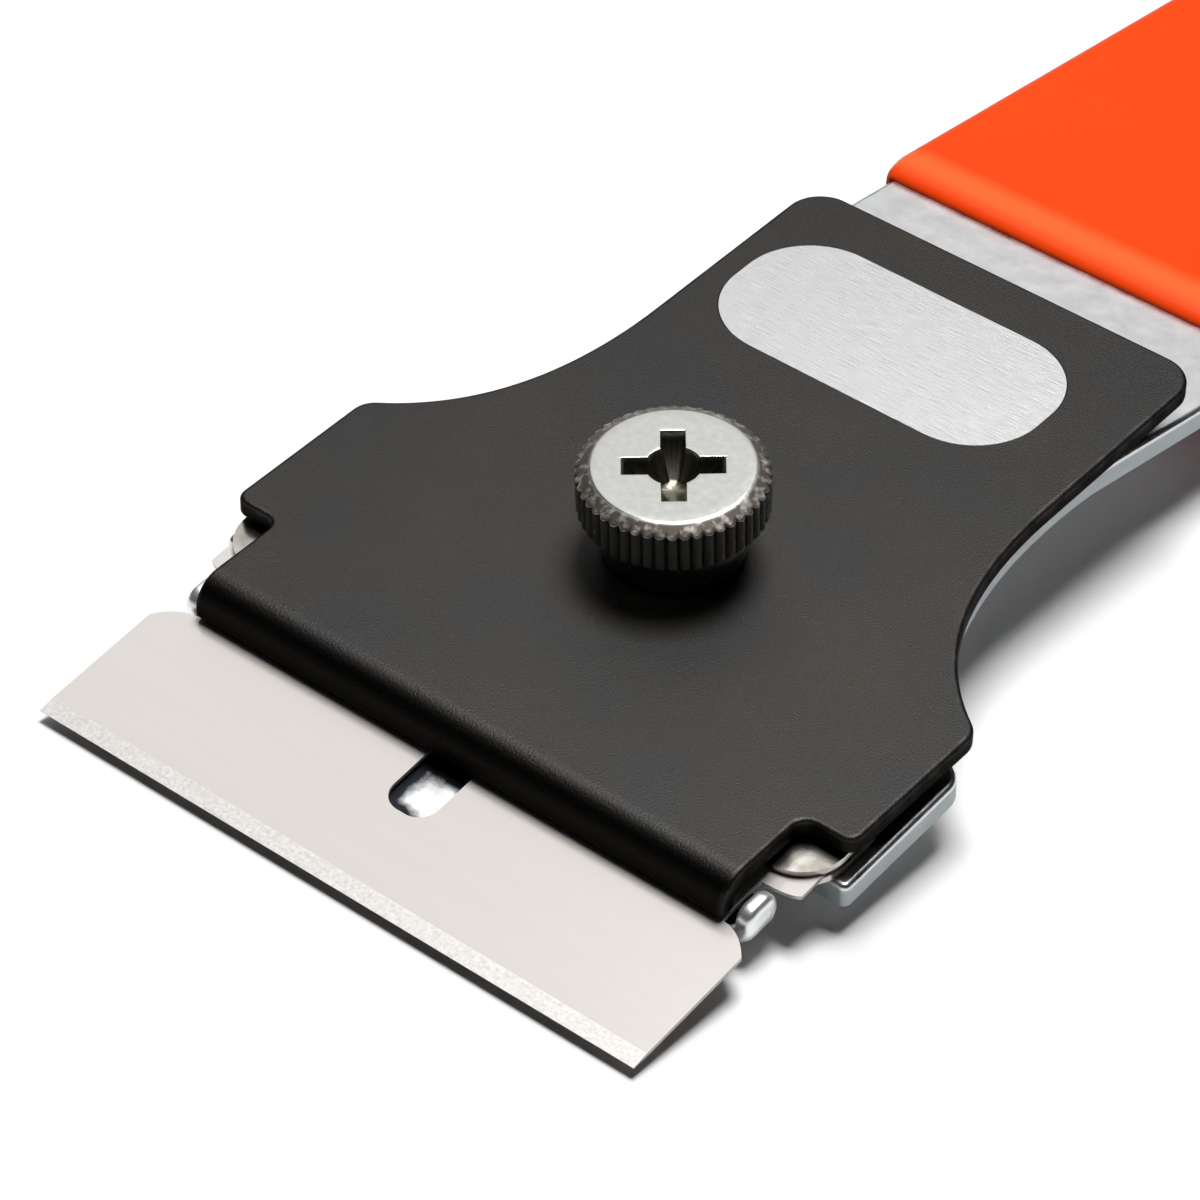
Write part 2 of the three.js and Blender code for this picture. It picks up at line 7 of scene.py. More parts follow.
import bmesh
import bpy
import numpy as np
from mathutils import Matrix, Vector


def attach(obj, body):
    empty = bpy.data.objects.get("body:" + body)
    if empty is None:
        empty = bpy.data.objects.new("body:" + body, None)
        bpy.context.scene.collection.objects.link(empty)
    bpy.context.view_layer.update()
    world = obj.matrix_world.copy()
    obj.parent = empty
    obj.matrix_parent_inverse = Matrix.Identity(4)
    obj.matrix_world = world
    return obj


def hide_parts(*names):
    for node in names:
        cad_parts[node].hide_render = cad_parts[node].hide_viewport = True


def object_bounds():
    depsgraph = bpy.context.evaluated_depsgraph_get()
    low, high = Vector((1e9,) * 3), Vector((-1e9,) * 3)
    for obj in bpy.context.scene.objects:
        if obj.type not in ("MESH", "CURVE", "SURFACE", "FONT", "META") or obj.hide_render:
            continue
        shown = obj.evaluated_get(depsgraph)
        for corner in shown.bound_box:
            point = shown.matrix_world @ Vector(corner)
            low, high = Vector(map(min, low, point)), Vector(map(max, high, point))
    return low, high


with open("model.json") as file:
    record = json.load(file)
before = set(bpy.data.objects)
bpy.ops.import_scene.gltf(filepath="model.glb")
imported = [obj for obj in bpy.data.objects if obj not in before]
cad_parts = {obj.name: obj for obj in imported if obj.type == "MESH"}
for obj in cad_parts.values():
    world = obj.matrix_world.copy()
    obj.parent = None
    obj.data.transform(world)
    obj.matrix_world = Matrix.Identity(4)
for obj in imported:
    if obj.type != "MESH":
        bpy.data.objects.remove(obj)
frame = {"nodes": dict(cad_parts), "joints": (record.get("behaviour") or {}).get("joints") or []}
CAD_BOX = [list(corner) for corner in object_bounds()]
MM = 0.001

# Head frame, from the joints
JOINTS = {joint["name"]: joint for joint in frame["joints"]}
SCREW_PLACE = 27.2
HEAD_UP = np.array(JOINTS["clamp_lift"]["axis"])
HEAD_REAR = np.array([0, HEAD_UP[2], -HEAD_UP[1]])
HEAD_ORIGIN = np.array(JOINTS["screw_turn"]["pos_m"]) - SCREW_PLACE * MM * HEAD_REAR

# Clamp plate
CLAMP_TILT = np.radians(-2.8731)
CLAMP_RISE = 2.3079
CLAMP_THICKNESS = 1.0
LIP_FOOT = 10.35
LIP_DROP = 1.2143
LIP_BEND_RADIUS = 0.7
LIP_HALF_WIDTH = 16.95
LIP_CORNER = 0.3
CLAMP_WING_FRONT = 15.74
CLAMP_WING_REAR = 25.9
CLAMP_WING_HALF_WIDTH = 19.95
CLAMP_NECK_HALF_WIDTH = 13.0
CLAMP_NECK_END = 42.0
CLAMP_REAR = 56.3
CLAMP_REAR_CORNER = 2.2
CLAMP_HOLE_RADIUS = 2.8
CLAMP_TOP_ROLL = 0.26
CLAMP_UNDER_ROLL = 0.1

# Strip
PLATE_THICKNESS = 1.5
TONGUE_FRONT = 5.2
TONGUE_HALF_WIDTH = 15.6
TONGUE_CORNER = 2.5
LUG_FRONT = 9.8
LUG_REAR = 12.25
LUG_INNER = 17.2
LUG_HEIGHT = 1.1
LUG_THICKNESS = 1.05
LUG_INNER_RADIUS = 0.25
LUG_CORNER = 0.9
LUG_TOP_ROLL = 0.55
LUG_UNDER_ROLL = 0.5
LUG_ROLL_START = 1.0
LUG_ROLL_REACH = 0.6
LUG_ROLL_MARGIN = 0.1
LUG_BEND_MARGIN = 1.0
CUTOUT_HALF_WIDTH = 15.4
PLATE_WING_FRONT = 15.05
PLATE_WING_REAR = 24.4
PLATE_WING_HALF_WIDTH = 20.1
PLATE_WING_CORNER = 0.42
WAIST_HALF_WIDTH = 12.4
CRANK_START = 42.0
CRANK_RADIUS = 28.0
CRANK_ANGLE = np.radians(11.3)
CRANK_LENGTH = CRANK_RADIUS * CRANK_ANGLE
FLARE_LENGTH = 10.0
TAIL_HALF_WIDTH = 12.9
TAIL_LENGTH = 100.0
TAIL_CORNER = 8.0
SPIGOT_HOLE_RADIUS = 3.36
PLATE_TOP_ROLL = 0.3
PLATE_UNDER_ROLL = 0.16

# Stamped corners and neck curves of both plates
STAMPED_CORNER = 0.8
NECK_WING_REACH = 4.3
NECK_WING_SLOPE = np.radians(36)
NECK_WAIST_REACH = 9.5

# Grip, in the tail's frame
GRIP_FRONT = 16.3
GRIP_WALL = 0.9
GRIP_CLEARANCE = 0.05
GRIP_EDGE_RADIUS = 1.2
GRIP_MOUTH_LENGTH = 2.4
GRIP_POCKET_RADIUS = 0.1

# Thumb screw, with Z = 0 under its shoulder
SCREW_SEAT = 2.1948
THREAD_RADIUS = 2.45
THREAD_END = -5.4448
THREAD_END_CHAMFER = 0.5
SHOULDER_RADIUS = 3.8
SHOULDER_HEIGHT = 2.2
KNURL_RADIUS = 5.0
KNURL_HEIGHT = 2.75
KNURL_TEETH = 48
KNURL_TOOTH_HEIGHT = 0.22
KNURL_FOOT_CHAMFER = 0.65
HEAD_TOP_RADIUS = 4.225
HEAD_CHAMFER_HEIGHT = 0.45
RECESS_HALF_SPAN = 2.6
RECESS_HALF_ARM = 0.625
RECESS_CORE_RADIUS = 1.4
RECESS_TIP_RADIUS = 0.7
RECESS_DEPTH = 1.8
RECESS_TURN = np.radians(39)
KNURL_SAMPLES = 16

# Fineness of the grids
STEP = 0.22
STRIP_STEP = 0.14
REAR_STEP = 0.5
CORNER_STEP = 0.06
TAIL_STEP = 1.2
ROLL_STEPS = 5
ROW_INSET = 0.03
FAR_COLUMNS = 10
PLATE_NEAR = np.array([0.04, 0.12, 0.3, 0.7, 1.4])
LUG_NEAR = np.array([0.04, 0.14, 0.26, 0.38, 0.46, 0.53, 0.6, 0.67, 0.74, 0.81, 0.88, 0.95, 1.05, 1.4])


# Paths in plan

def line(start, end, step=STEP):
    """Points from start up to, but without, end: equal shares of the straight way between them."""
    start, end = np.array(start, float), np.array(end, float)
    count = max(1, int(np.ceil(np.linalg.norm(end - start) / step)))
    return start + np.linspace(0, 1, count, endpoint=False)[:, None] * (end - start)


def bezier(*handles, count=60):
    """Points up to, but without, the last handle: the weighted mean of the handles with Bernstein
    weights."""
    t = np.linspace(0, 1, count, endpoint=False)[:, None]
    points = [np.array(handle, float) for handle in handles]
    while len(points) > 1:
        points = [(1 - t) * a + t * b for a, b in zip(points, points[1:])]
    return points[0]


def rounded(corners, step=STEP):
    """A way through corners given as x, y and an optional radius: straight runs, and at each radius the
    arc that touches both neighbouring runs. The last corner is left for what follows."""
    runs = []
    here = np.array(corners[0][:2], float)
    for corner, after in zip(corners[1:], corners[2:]):
        at, beyond = np.array(corner[:2], float), np.array(after[:2], float)
        radius = corner[2] if len(corner) > 2 else 0
        if not radius:
            runs.append(line(here, at, step))
            here = at
            continue
        back, ahead = here - at, beyond - at
        back, ahead = back / np.linalg.norm(back), ahead / np.linalg.norm(ahead)
        half = np.arccos(back @ ahead) / 2
        centre = at + (back + ahead) / np.linalg.norm(back + ahead) * radius / np.sin(half)
        touch = at + back * radius / np.tan(half)
        leave = at + ahead * radius / np.tan(half)
        runs.append(line(here, touch, step))
        sweep = np.pi - 2 * half
        turn = np.sign(-back[0] * ahead[1] + back[1] * ahead[0]) * sweep
        angles = np.linspace(0, turn, max(5, int(radius * sweep / CORNER_STEP)), endpoint=False)
        reach = touch - centre
        runs.append(centre + np.stack([reach[0] * np.cos(angles) - reach[1] * np.sin(angles),
                                       reach[0] * np.sin(angles) + reach[1] * np.cos(angles)], 1))
        here = leave
    runs.append(line(here, corners[-1][:2], step))
    return np.concatenate(runs)


def neck(wing_half_width, wing_rear, waist_half_width, waist_end):
    """The sweep from the rear corner of a wing to the waist: a small round corner and one long
    S-curve."""
    inward = np.array([-np.cos(NECK_WING_SLOPE), np.sin(NECK_WING_SLOPE)])
    corner = np.array([wing_half_width, wing_rear])
    leave = corner + STAMPED_CORNER * inward
    return np.concatenate([
        bezier((wing_half_width, wing_rear - STAMPED_CORNER), corner, leave, count=14),
        bezier(leave, corner + NECK_WING_REACH * inward,
               (waist_half_width, waist_end - NECK_WAIST_REACH), (waist_half_width, waist_end), count=90),
    ])


def outward(outline):
    """Unit normals of a way that keeps the piece on its left: its direction turned a quarter to the
    right."""
    along = np.gradient(outline, axis=0)
    along /= np.linalg.norm(along, axis=1)[:, None]
    return np.stack([along[:, 1], -along[:, 0]], 1)


# Sheets from an outline

def cap(outline, normal, roll, depth, hole, near):
    """One flat face of a plate's right half. Each row runs from the outline, set in by the roll, to the
    centre line or to the rim of a round hole, at the height of the outline set in by a greater depth; the
    columns lie at fixed distances near the edge and in equal shares beyond."""
    inset = outline - roll[:, None] * normal
    height = outline[:, 1] - depth * normal[:, 1]
    rim = np.sqrt(np.maximum(0, hole[1] ** 2 - (height - hole[0]) ** 2))
    inner = np.stack([np.minimum(rim, inset[:, 0]), height], 1)
    length = np.maximum(np.linalg.norm(inset - inner, axis=1), 1e-6)[:, None]
    close = np.minimum(np.append(0, near) / length, np.linspace(0, 0.6, len(near) + 1))
    far = close[:, -1:] + (1 - close[:, -1:]) * np.linspace(0, 1, FAR_COLUMNS + 1)[1:]
    share = np.concatenate([close, far], 1)[:, :, None]
    return inset[:, None] * (1 - share) + inner[:, None] * share


def section_rows(outline, top, bottom, top_roll, under_roll, hole, near):
    """A plate's right half as rows along its outline. A row goes from the centre out over the top, round
    the rolled upper edge, down the wall, round the lower edge and back underneath. Also says where the
    edges roll."""
    normal = outward(outline)
    depth = np.maximum(top_roll, under_roll) + ROW_INSET
    upper = cap(outline, normal, top_roll, depth, hole, near)[:, ::-1]
    lower = cap(outline, normal, under_roll, depth, hole, near)
    quarter = np.linspace(0, np.pi / 2, ROLL_STEPS + 1)[1:]
    above, below = top_roll[:, None], under_roll[:, None]
    reach = np.concatenate([above * (np.sin(quarter) - 1), 0 * below,
                            below * (np.cos(quarter[:-1]) - 1)], 1)
    drop = np.concatenate([top + above * (np.cos(quarter) - 1), bottom + below,
                           bottom + below * (1 - np.sin(quarter[:-1]))], 1)
    side = outline[:, None] + reach[:, :, None] * normal[:, None]
    plan = np.concatenate([upper, side, lower], 1)
    level = np.concatenate([np.full(upper.shape[:2], top), drop, np.full(lower.shape[:2], bottom)], 1)
    rolled = np.zeros(plan.shape[1])
    rolled[upper.shape[1] - 1:upper.shape[1] + ROLL_STEPS] = 1
    return np.concatenate([plan, level[:, :, None]], 2), np.broadcast_to(rolled, plan.shape[:2])


def grid_faces(rows, columns):
    """Quads of a grid of rows and columns, numbered row by row."""
    corner = (np.arange(rows - 1)[:, None] * columns + np.arange(columns - 1)).ravel()
    return np.stack([corner, corner + 1, corner + columns + 1, corner + columns], 1)


def hole_wall(rows):
    """Quads between the first and last column of each row pair, where the first column is off the centre
    line."""
    count, columns = rows.shape[:2]
    first = np.arange(count) * columns
    open_row = rows[:, 0, 0] > 1e-6
    at = first[:-1][open_row[:-1] | open_row[1:]]
    return np.stack([at, at + columns, at + 2 * columns - 1, at + columns - 1], 1)


# Bends and places

def bent_lip(points):
    """The clamp plate's front turned down: past the bend's start, the sheet follows a quarter circle and
    then runs straight down. Lengths along the sheet are kept at the middle of its thickness."""
    x, along, z = points[..., 0], points[..., 1], points[..., 2]
    start = LIP_FOOT + LIP_BEND_RADIUS
    middle = LIP_BEND_RADIUS + CLAMP_THICKNESS / 2
    past = np.maximum(0, start - along)
    turn = np.minimum(past / middle, np.pi / 2)
    leg = past - middle * turn
    radius = LIP_BEND_RADIUS + z
    y = np.where(past > 0, start - radius * np.sin(turn), along)
    height = np.where(past > 0, -LIP_BEND_RADIUS + radius * np.cos(turn) - leg, z)
    return np.stack([x, y, height], -1)


def lug_tab_end():
    """How far the flat tab of a lug reaches across the strip before it is turned up."""
    return LUG_INNER - LUG_INNER_RADIUS + LUG_INNER_RADIUS * np.pi / 2 + LUG_HEIGHT - LUG_INNER_RADIUS


def bent_strip(points):
    """The strip's lugs turned up and its tail cranked down. A lug's tab follows a quarter circle about
    its inner radius, thinning on the way, and runs straight up; the tail follows the crank's arc and
    leaves it straight."""
    x, along, z = points[..., 0], points[..., 1], points[..., 2]
    depth = -z
    start = LUG_INNER - LUG_INNER_RADIUS
    arc = LUG_INNER_RADIUS * np.pi / 2
    beside = (along > LUG_FRONT - LUG_BEND_MARGIN) & (along < LUG_REAR + LUG_BEND_MARGIN)
    on_lug = (x > start) & beside
    past = np.where(on_lug, x - start, 0)
    turn = np.minimum(past / LUG_INNER_RADIUS, np.pi / 2)
    thin = 1 - (1 - LUG_THICKNESS / PLATE_THICKNESS) * np.minimum(past / arc, 1)
    radius = LUG_INNER_RADIUS + depth * thin
    x = np.where(on_lug, start + radius * np.sin(turn), x)
    z = np.where(on_lug, LUG_INNER_RADIUS - radius * np.cos(turn) + np.maximum(0, past - arc), z)
    swing = np.clip((along - CRANK_START) / CRANK_RADIUS, 0, CRANK_ANGLE)
    tail = np.maximum(0, along - CRANK_START - CRANK_LENGTH)
    reach = CRANK_RADIUS + z
    y = np.minimum(along, CRANK_START) + reach * np.sin(swing) + tail * np.cos(swing)
    height = np.where(swing > 0, reach * np.cos(swing) - CRANK_RADIUS - tail * np.sin(swing), z)
    return np.stack([x, y, height], -1)


def place(points, tilt=0.0, y=0.0, z=0.0):
    """Points of a piece's own frame, tilted about X and set at y and z of the head, in the part's frame
    in metres."""
    rear = y + points[..., 1] * np.cos(tilt) - points[..., 2] * np.sin(tilt)
    up = z + points[..., 1] * np.sin(tilt) + points[..., 2] * np.cos(tilt)
    across = np.array([1.0, 0, 0])
    in_head = points[..., :1] * across + rear[..., None] * HEAD_REAR + up[..., None] * HEAD_UP
    return HEAD_ORIGIN + MM * in_head


# Meshes

def make_piece(name, points, flat, rolled, faces, material, body, node):
    """A mesh object from points and quads, with the flat sheet's coordinates and the rolled edges kept as
    attributes for its finish; doubles are merged and normals turned outwards."""
    mesh = bpy.data.meshes.new(name)
    mesh.from_pydata(points.tolist(), [], faces.tolist())
    sheet = mesh.attributes.new("flat", "FLOAT_VECTOR", "POINT")
    sheet.data.foreach_set("vector", np.ascontiguousarray(flat, np.float32).ravel())
    edge = mesh.attributes.new("rolled", "FLOAT", "POINT")
    edge.data.foreach_set("value", np.ascontiguousarray(rolled, np.float32).ravel())
    shell = bmesh.new()
    shell.from_mesh(mesh)
    bmesh.ops.remove_doubles(shell, verts=shell.verts, dist=1e-7)
    bmesh.ops.dissolve_degenerate(shell, edges=shell.edges, dist=1e-8)
    bmesh.ops.recalc_face_normals(shell, faces=shell.faces)
    shell.to_mesh(mesh)
    shell.free()
    mesh.polygons.foreach_set("use_smooth", np.ones(len(mesh.polygons), bool))
    mesh.materials.append(material)
    piece = bpy.data.objects.new(name, mesh)
    bpy.context.scene.collection.objects.link(piece)
    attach(piece, body)
    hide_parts(node)
    return piece


def both_halves(rows, bend, faces, **placing):
    """A right half and its mirror image: bent and placed points, flat coordinates and faces of both."""
    flat = rows.reshape(-1, 3)
    right = bend(flat)
    mirror = np.array([-1.0, 1, 1])
    points = np.concatenate([place(right, **placing), place(right * mirror, **placing)])
    both_faces = np.concatenate([faces, faces[:, ::-1] + len(flat)])
    return points, np.concatenate([flat, flat * mirror]), both_faces


def make_plate(name, outline, thickness, rolls, hole, near, bend, material, body, slot, top=0.0, **placing):
    """A stamped plate from the right half of its flat outline, bent and mirrored."""
    rolls = [np.broadcast_to(roll, len(outline)) for roll in rolls]
    rows, rolled = section_rows(outline, top, top - thickness, rolls[0], rolls[1], hole, near)
    faces = np.concatenate([grid_faces(*rows.shape[:2]), hole_wall(rows)])
    points, flat, faces = both_halves(rows, bend, faces, **placing)
    edge = np.concatenate([rolled.ravel(), rolled.ravel()])
    return make_piece(name, points, flat, edge, faces, material, body, name.replace("_skin", ""))


def clamp_outline():
    """Right half of the clamp plate's flat sheet, from the lip's foot to the rear edge."""
    lip = LIP_FOOT + LIP_BEND_RADIUS - (LIP_BEND_RADIUS + CLAMP_THICKNESS / 2) * np.pi / 2
    front = lip - (LIP_DROP - LIP_BEND_RADIUS)
    wing = CLAMP_WING_HALF_WIDTH
    waist = CLAMP_NECK_HALF_WIDTH
    return np.concatenate([
        rounded([(0, front), (LIP_HALF_WIDTH, front, LIP_CORNER),
                 (LIP_HALF_WIDTH, CLAMP_WING_FRONT, STAMPED_CORNER),
                 (wing, CLAMP_WING_FRONT, STAMPED_CORNER),
                 (wing, CLAMP_WING_REAR - STAMPED_CORNER)]),
        neck(wing, CLAMP_WING_REAR, waist, CLAMP_NECK_END),
        rounded([(waist, CLAMP_NECK_END), (waist, CLAMP_REAR, CLAMP_REAR_CORNER),
                 (0, CLAMP_REAR)], REAR_STEP),
        [[0, CLAMP_REAR]],
    ])


def strip_outline():
    """Right half of the strip's flat sheet, from the front of its tongue to the end of its tail."""
    tab = lug_tab_end()
    wing = PLATE_WING_HALF_WIDTH
    tail = CRANK_START + CRANK_LENGTH
    return np.concatenate([
        rounded([(0, TONGUE_FRONT), (TONGUE_HALF_WIDTH, TONGUE_FRONT, TONGUE_CORNER),
                 (TONGUE_HALF_WIDTH, LUG_FRONT, PLATE_TOP_ROLL), (tab, LUG_FRONT, LUG_CORNER),
                 (tab, LUG_REAR, LUG_CORNER), (CUTOUT_HALF_WIDTH, LUG_REAR, STAMPED_CORNER),
                 (CUTOUT_HALF_WIDTH, PLATE_WING_FRONT, STAMPED_CORNER),
                 (wing, PLATE_WING_FRONT, PLATE_WING_CORNER),
                 (wing, PLATE_WING_REAR - STAMPED_CORNER)], STRIP_STEP),
        neck(wing, PLATE_WING_REAR, WAIST_HALF_WIDTH, CRANK_START),
        line((WAIST_HALF_WIDTH, CRANK_START), (WAIST_HALF_WIDTH, tail)),
        rounded([(WAIST_HALF_WIDTH, tail), (TAIL_HALF_WIDTH, tail + FLARE_LENGTH),
                 (TAIL_HALF_WIDTH, tail + TAIL_LENGTH, TAIL_CORNER), (0, tail + TAIL_LENGTH)], TAIL_STEP),
        [[0, tail + TAIL_LENGTH]],
    ])


def strip_rolls(outline):
    """The strip's upper and lower edge radii along its outline, growing to rounder edges on the lugs."""
    grown = np.clip((outline[:, 0] - TONGUE_HALF_WIDTH - LUG_ROLL_START) / LUG_ROLL_REACH, 0, 1)
    share = grown * (outline[:, 1] < LUG_REAR + LUG_ROLL_MARGIN)
    return (PLATE_TOP_ROLL + share * (LUG_TOP_ROLL - PLATE_TOP_ROLL),
            PLATE_UNDER_ROLL + share * (LUG_UNDER_ROLL - PLATE_UNDER_ROLL))


def grip_outline(margin):
    """Right half of the tail's outline behind the grip's front, grown by a margin."""
    half, end = TAIL_HALF_WIDTH + margin, TAIL_LENGTH + margin
    return np.concatenate([
        rounded([(half, GRIP_FRONT), (half, end, TAIL_CORNER + margin), (0, end)], TAIL_STEP), [[0, end]]])


def make_grip(material):
    """The dipped sleeve. Outer rows and pocket rows follow the same sections of the tail; in front a
    quarter ellipse carries the outer section down to the pocket's mouth, so the sleeve is one closed
    skin."""
    no_hole = (0.0, 0.0)
    near = PLATE_NEAR * 2
    skins = []
    for margin, radius in ((GRIP_WALL, GRIP_EDGE_RADIUS), (GRIP_CLEARANCE, GRIP_POCKET_RADIUS)):
        outline = grip_outline(margin)
        edge = np.full(len(outline), radius)
        skins.append(section_rows(outline, margin, -PLATE_THICKNESS - margin, edge, edge, no_hole, near)[0])
    outer, pocket = skins
    behind = outer[:, 0, 1] > GRIP_FRONT + GRIP_MOUTH_LENGTH
    first = outer[0] + np.array([0, GRIP_MOUTH_LENGTH, 0])
    swing = np.linspace(np.pi / 2, 0, 12)[1:, None, None]
    mouth = pocket[0] + (first - pocket[0]) * np.cos(swing)
    mouth[..., 1] = GRIP_FRONT + GRIP_MOUTH_LENGTH * (1 - np.sin(swing[..., 0]))
    rows = np.concatenate([pocket[::-1], mouth, outer[behind]])
    faces = grid_faces(*rows.shape[:2])
    tail_y = CRANK_START + CRANK_RADIUS * np.sin(CRANK_ANGLE)
    tail_z = CRANK_RADIUS * (np.cos(CRANK_ANGLE) - 1)
    points, flat, faces = both_halves(rows, lambda p: p, faces, tilt=-CRANK_ANGLE, y=tail_y, z=tail_z)
    return make_piece("grip_skin", points, flat, np.zeros(len(flat)), faces, material,
                      "handle", "grip")


def cross_radius(angle):
    """How far the cross recess reaches in each direction: the longer of its two arms there, or its round
    core."""
    tiny = 1e-6
    across = np.maximum(np.abs(np.cos(angle)), tiny)
    along = np.maximum(np.abs(np.sin(angle)), tiny)
    one = np.minimum(RECESS_HALF_SPAN / across, RECESS_HALF_ARM / along)
    other = np.minimum(RECESS_HALF_SPAN / along, RECESS_HALF_ARM / across)
    return np.maximum(np.maximum(one, other), RECESS_CORE_RADIUS)


def make_thumb_screw(material):
    """The screw turned about its axis: a profile of radius and height, in which the knurl's radius falls
    between its teeth and the recess's rim follows the cross, both by the angle round the axis."""
    angle = np.linspace(0, 2 * np.pi, KNURL_TEETH * KNURL_SAMPLES, endpoint=False)
    round_off = np.ones_like(angle)
    groove = 1 - np.abs(np.cos(KNURL_TEETH * angle / 2)) ** 0.8
    knurl = KNURL_RADIUS - KNURL_TOOTH_HEIGHT * groove
    cross = cross_radius(angle - RECESS_TURN)
    rim = SHOULDER_HEIGHT + KNURL_HEIGHT
    top = rim + HEAD_CHAMFER_HEIGHT
    soft = 0.06
    profile = [(0, THREAD_END), (THREAD_RADIUS - THREAD_END_CHAMFER, THREAD_END),
               (THREAD_RADIUS, THREAD_END + THREAD_END_CHAMFER), (THREAD_RADIUS, -soft), (THREAD_RADIUS, 0),
               (SHOULDER_RADIUS - 2 * soft, 0), (SHOULDER_RADIUS, 2 * soft),
               (SHOULDER_RADIUS, SHOULDER_HEIGHT - soft), (SHOULDER_RADIUS, SHOULDER_HEIGHT)]
    radii = [radius * round_off for radius, _ in profile]
    heights = [height for _, height in profile]
    foot = KNURL_RADIUS - KNURL_FOOT_CHAMFER
    for share in (0, 0.08, 0.35, 0.7, 1, 1.12):
        radii.append(np.minimum(foot + share * KNURL_FOOT_CHAMFER, knurl))
        heights.append(SHOULDER_HEIGHT + share * KNURL_FOOT_CHAMFER)
    for height in (0.5 * (SHOULDER_HEIGHT + rim), rim - soft):
        radii.append(knurl)
        heights.append(height)
    for share in (0, 0.15, 0.35, 0.55, 0.75, 0.9):
        cone = KNURL_RADIUS + share * (HEAD_TOP_RADIUS - KNURL_RADIUS)
        radii.append(np.minimum(cone, knurl))
        heights.append(rim + share * HEAD_CHAMFER_HEIGHT)
    for inset, drop in ((0.0, 0.025), (0.05, 0.006), (0.11, 0.0), (0.5, 0.0)):
        radii.append((HEAD_TOP_RADIUS - inset) * round_off)
        heights.append(top - drop)
    for grow, drop in ((0.3, 0.0), (0.1, 0.0), (0.05, 0.006), (0.0, 0.04)):
        radii.append(cross + grow)
        heights.append(top - drop)
    for share in (0.1, 0.3, 0.5, 0.7, 0.85, 0.95, 1.0):
        inward = share ** 1.7
        radii.append(cross * (1 - inward) + RECESS_TIP_RADIUS * inward)
        heights.append(top - RECESS_DEPTH * share)
    radii.append(0 * round_off)
    heights.append(top - RECESS_DEPTH)
    radii = np.stack(radii)
    levels = np.broadcast_to(np.array(heights)[:, None], radii.shape)
    points = np.stack([radii * np.cos(angle), radii * np.sin(angle), levels], -1)
    rows, columns = radii.shape
    corner = (np.arange(rows - 1)[:, None] * columns + np.arange(columns)).ravel()
    beside = (np.arange(rows - 1)[:, None] * columns + (np.arange(columns) + 1) % columns).ravel()
    faces = np.stack([corner, beside, beside + columns, corner + columns], 1)
    flat = points.reshape(-1, 3)
    # The crest share, 1 on the knurl's crests and 0 in its valleys, by which the finish paints shade into
    # the valleys.
    worn = np.broadcast_to(1 - groove, radii.shape).ravel()
    placed = place(flat, y=SCREW_PLACE, z=SCREW_SEAT)
    return make_piece("thumb_screw_skin", placed, flat, worn, faces, material,
                      "screw", "thumb_screw")


# Finishes

class Wire:
    """A socket in a finish's node tree. Arithmetic on it adds Math nodes."""

    def __init__(self, finish, socket):
        self.finish = finish
        self.socket = socket

    def maths(self, operation, first, second):
        return self.finish.add("ShaderNodeMath", {"operation": operation}, {0: first, 1: second})

    def __add__(self, other):
        return self.maths("ADD", self, other)

    def __sub__(self, other):
        return self.maths("SUBTRACT", self, other)

    def __mul__(self, other):
        return self.maths("MULTIPLY", self, other)

    def __truediv__(self, other):
        return self.maths("DIVIDE", self, other)

    def __pow__(self, other):
        return self.maths("POWER", self, other)

    def __rsub__(self, other):
        return self.maths("SUBTRACT", other, self)

    __radd__ = __add__
    __rmul__ = __mul__


class Nodes:
    """A node tree with a way to add any node to it."""

    def __init__(self, tree):
        self.tree = tree

    def add(self, kind, settings=None, values=None, output=0):
        """Any node: its settings first, a ramp's stops among them, then the values or wires of its
        sockets."""
        node = self.tree.nodes.new(kind)
        for key, value in (settings or {}).items():
            if key == "stops":
                self.set_stops(node.color_ramp, value)
            else:
                setattr(node, key, value)
        for key, value in (values or {}).items():
            self.feed(node.inputs[key], value)
        return Wire(self, node.outputs[output])

    def set_stops(self, ramp, stops):
        while len(ramp.elements) < len(stops):
            ramp.elements.new(1)
        for element, (position, grey) in zip(ramp.elements, stops):
            element.position = position
            element.color = (grey, grey, grey, 1)

    def feed(self, socket, value):
        if isinstance(value, Wire):
            self.tree.links.new(value.socket, socket)
        else:
            socket.default_value = value


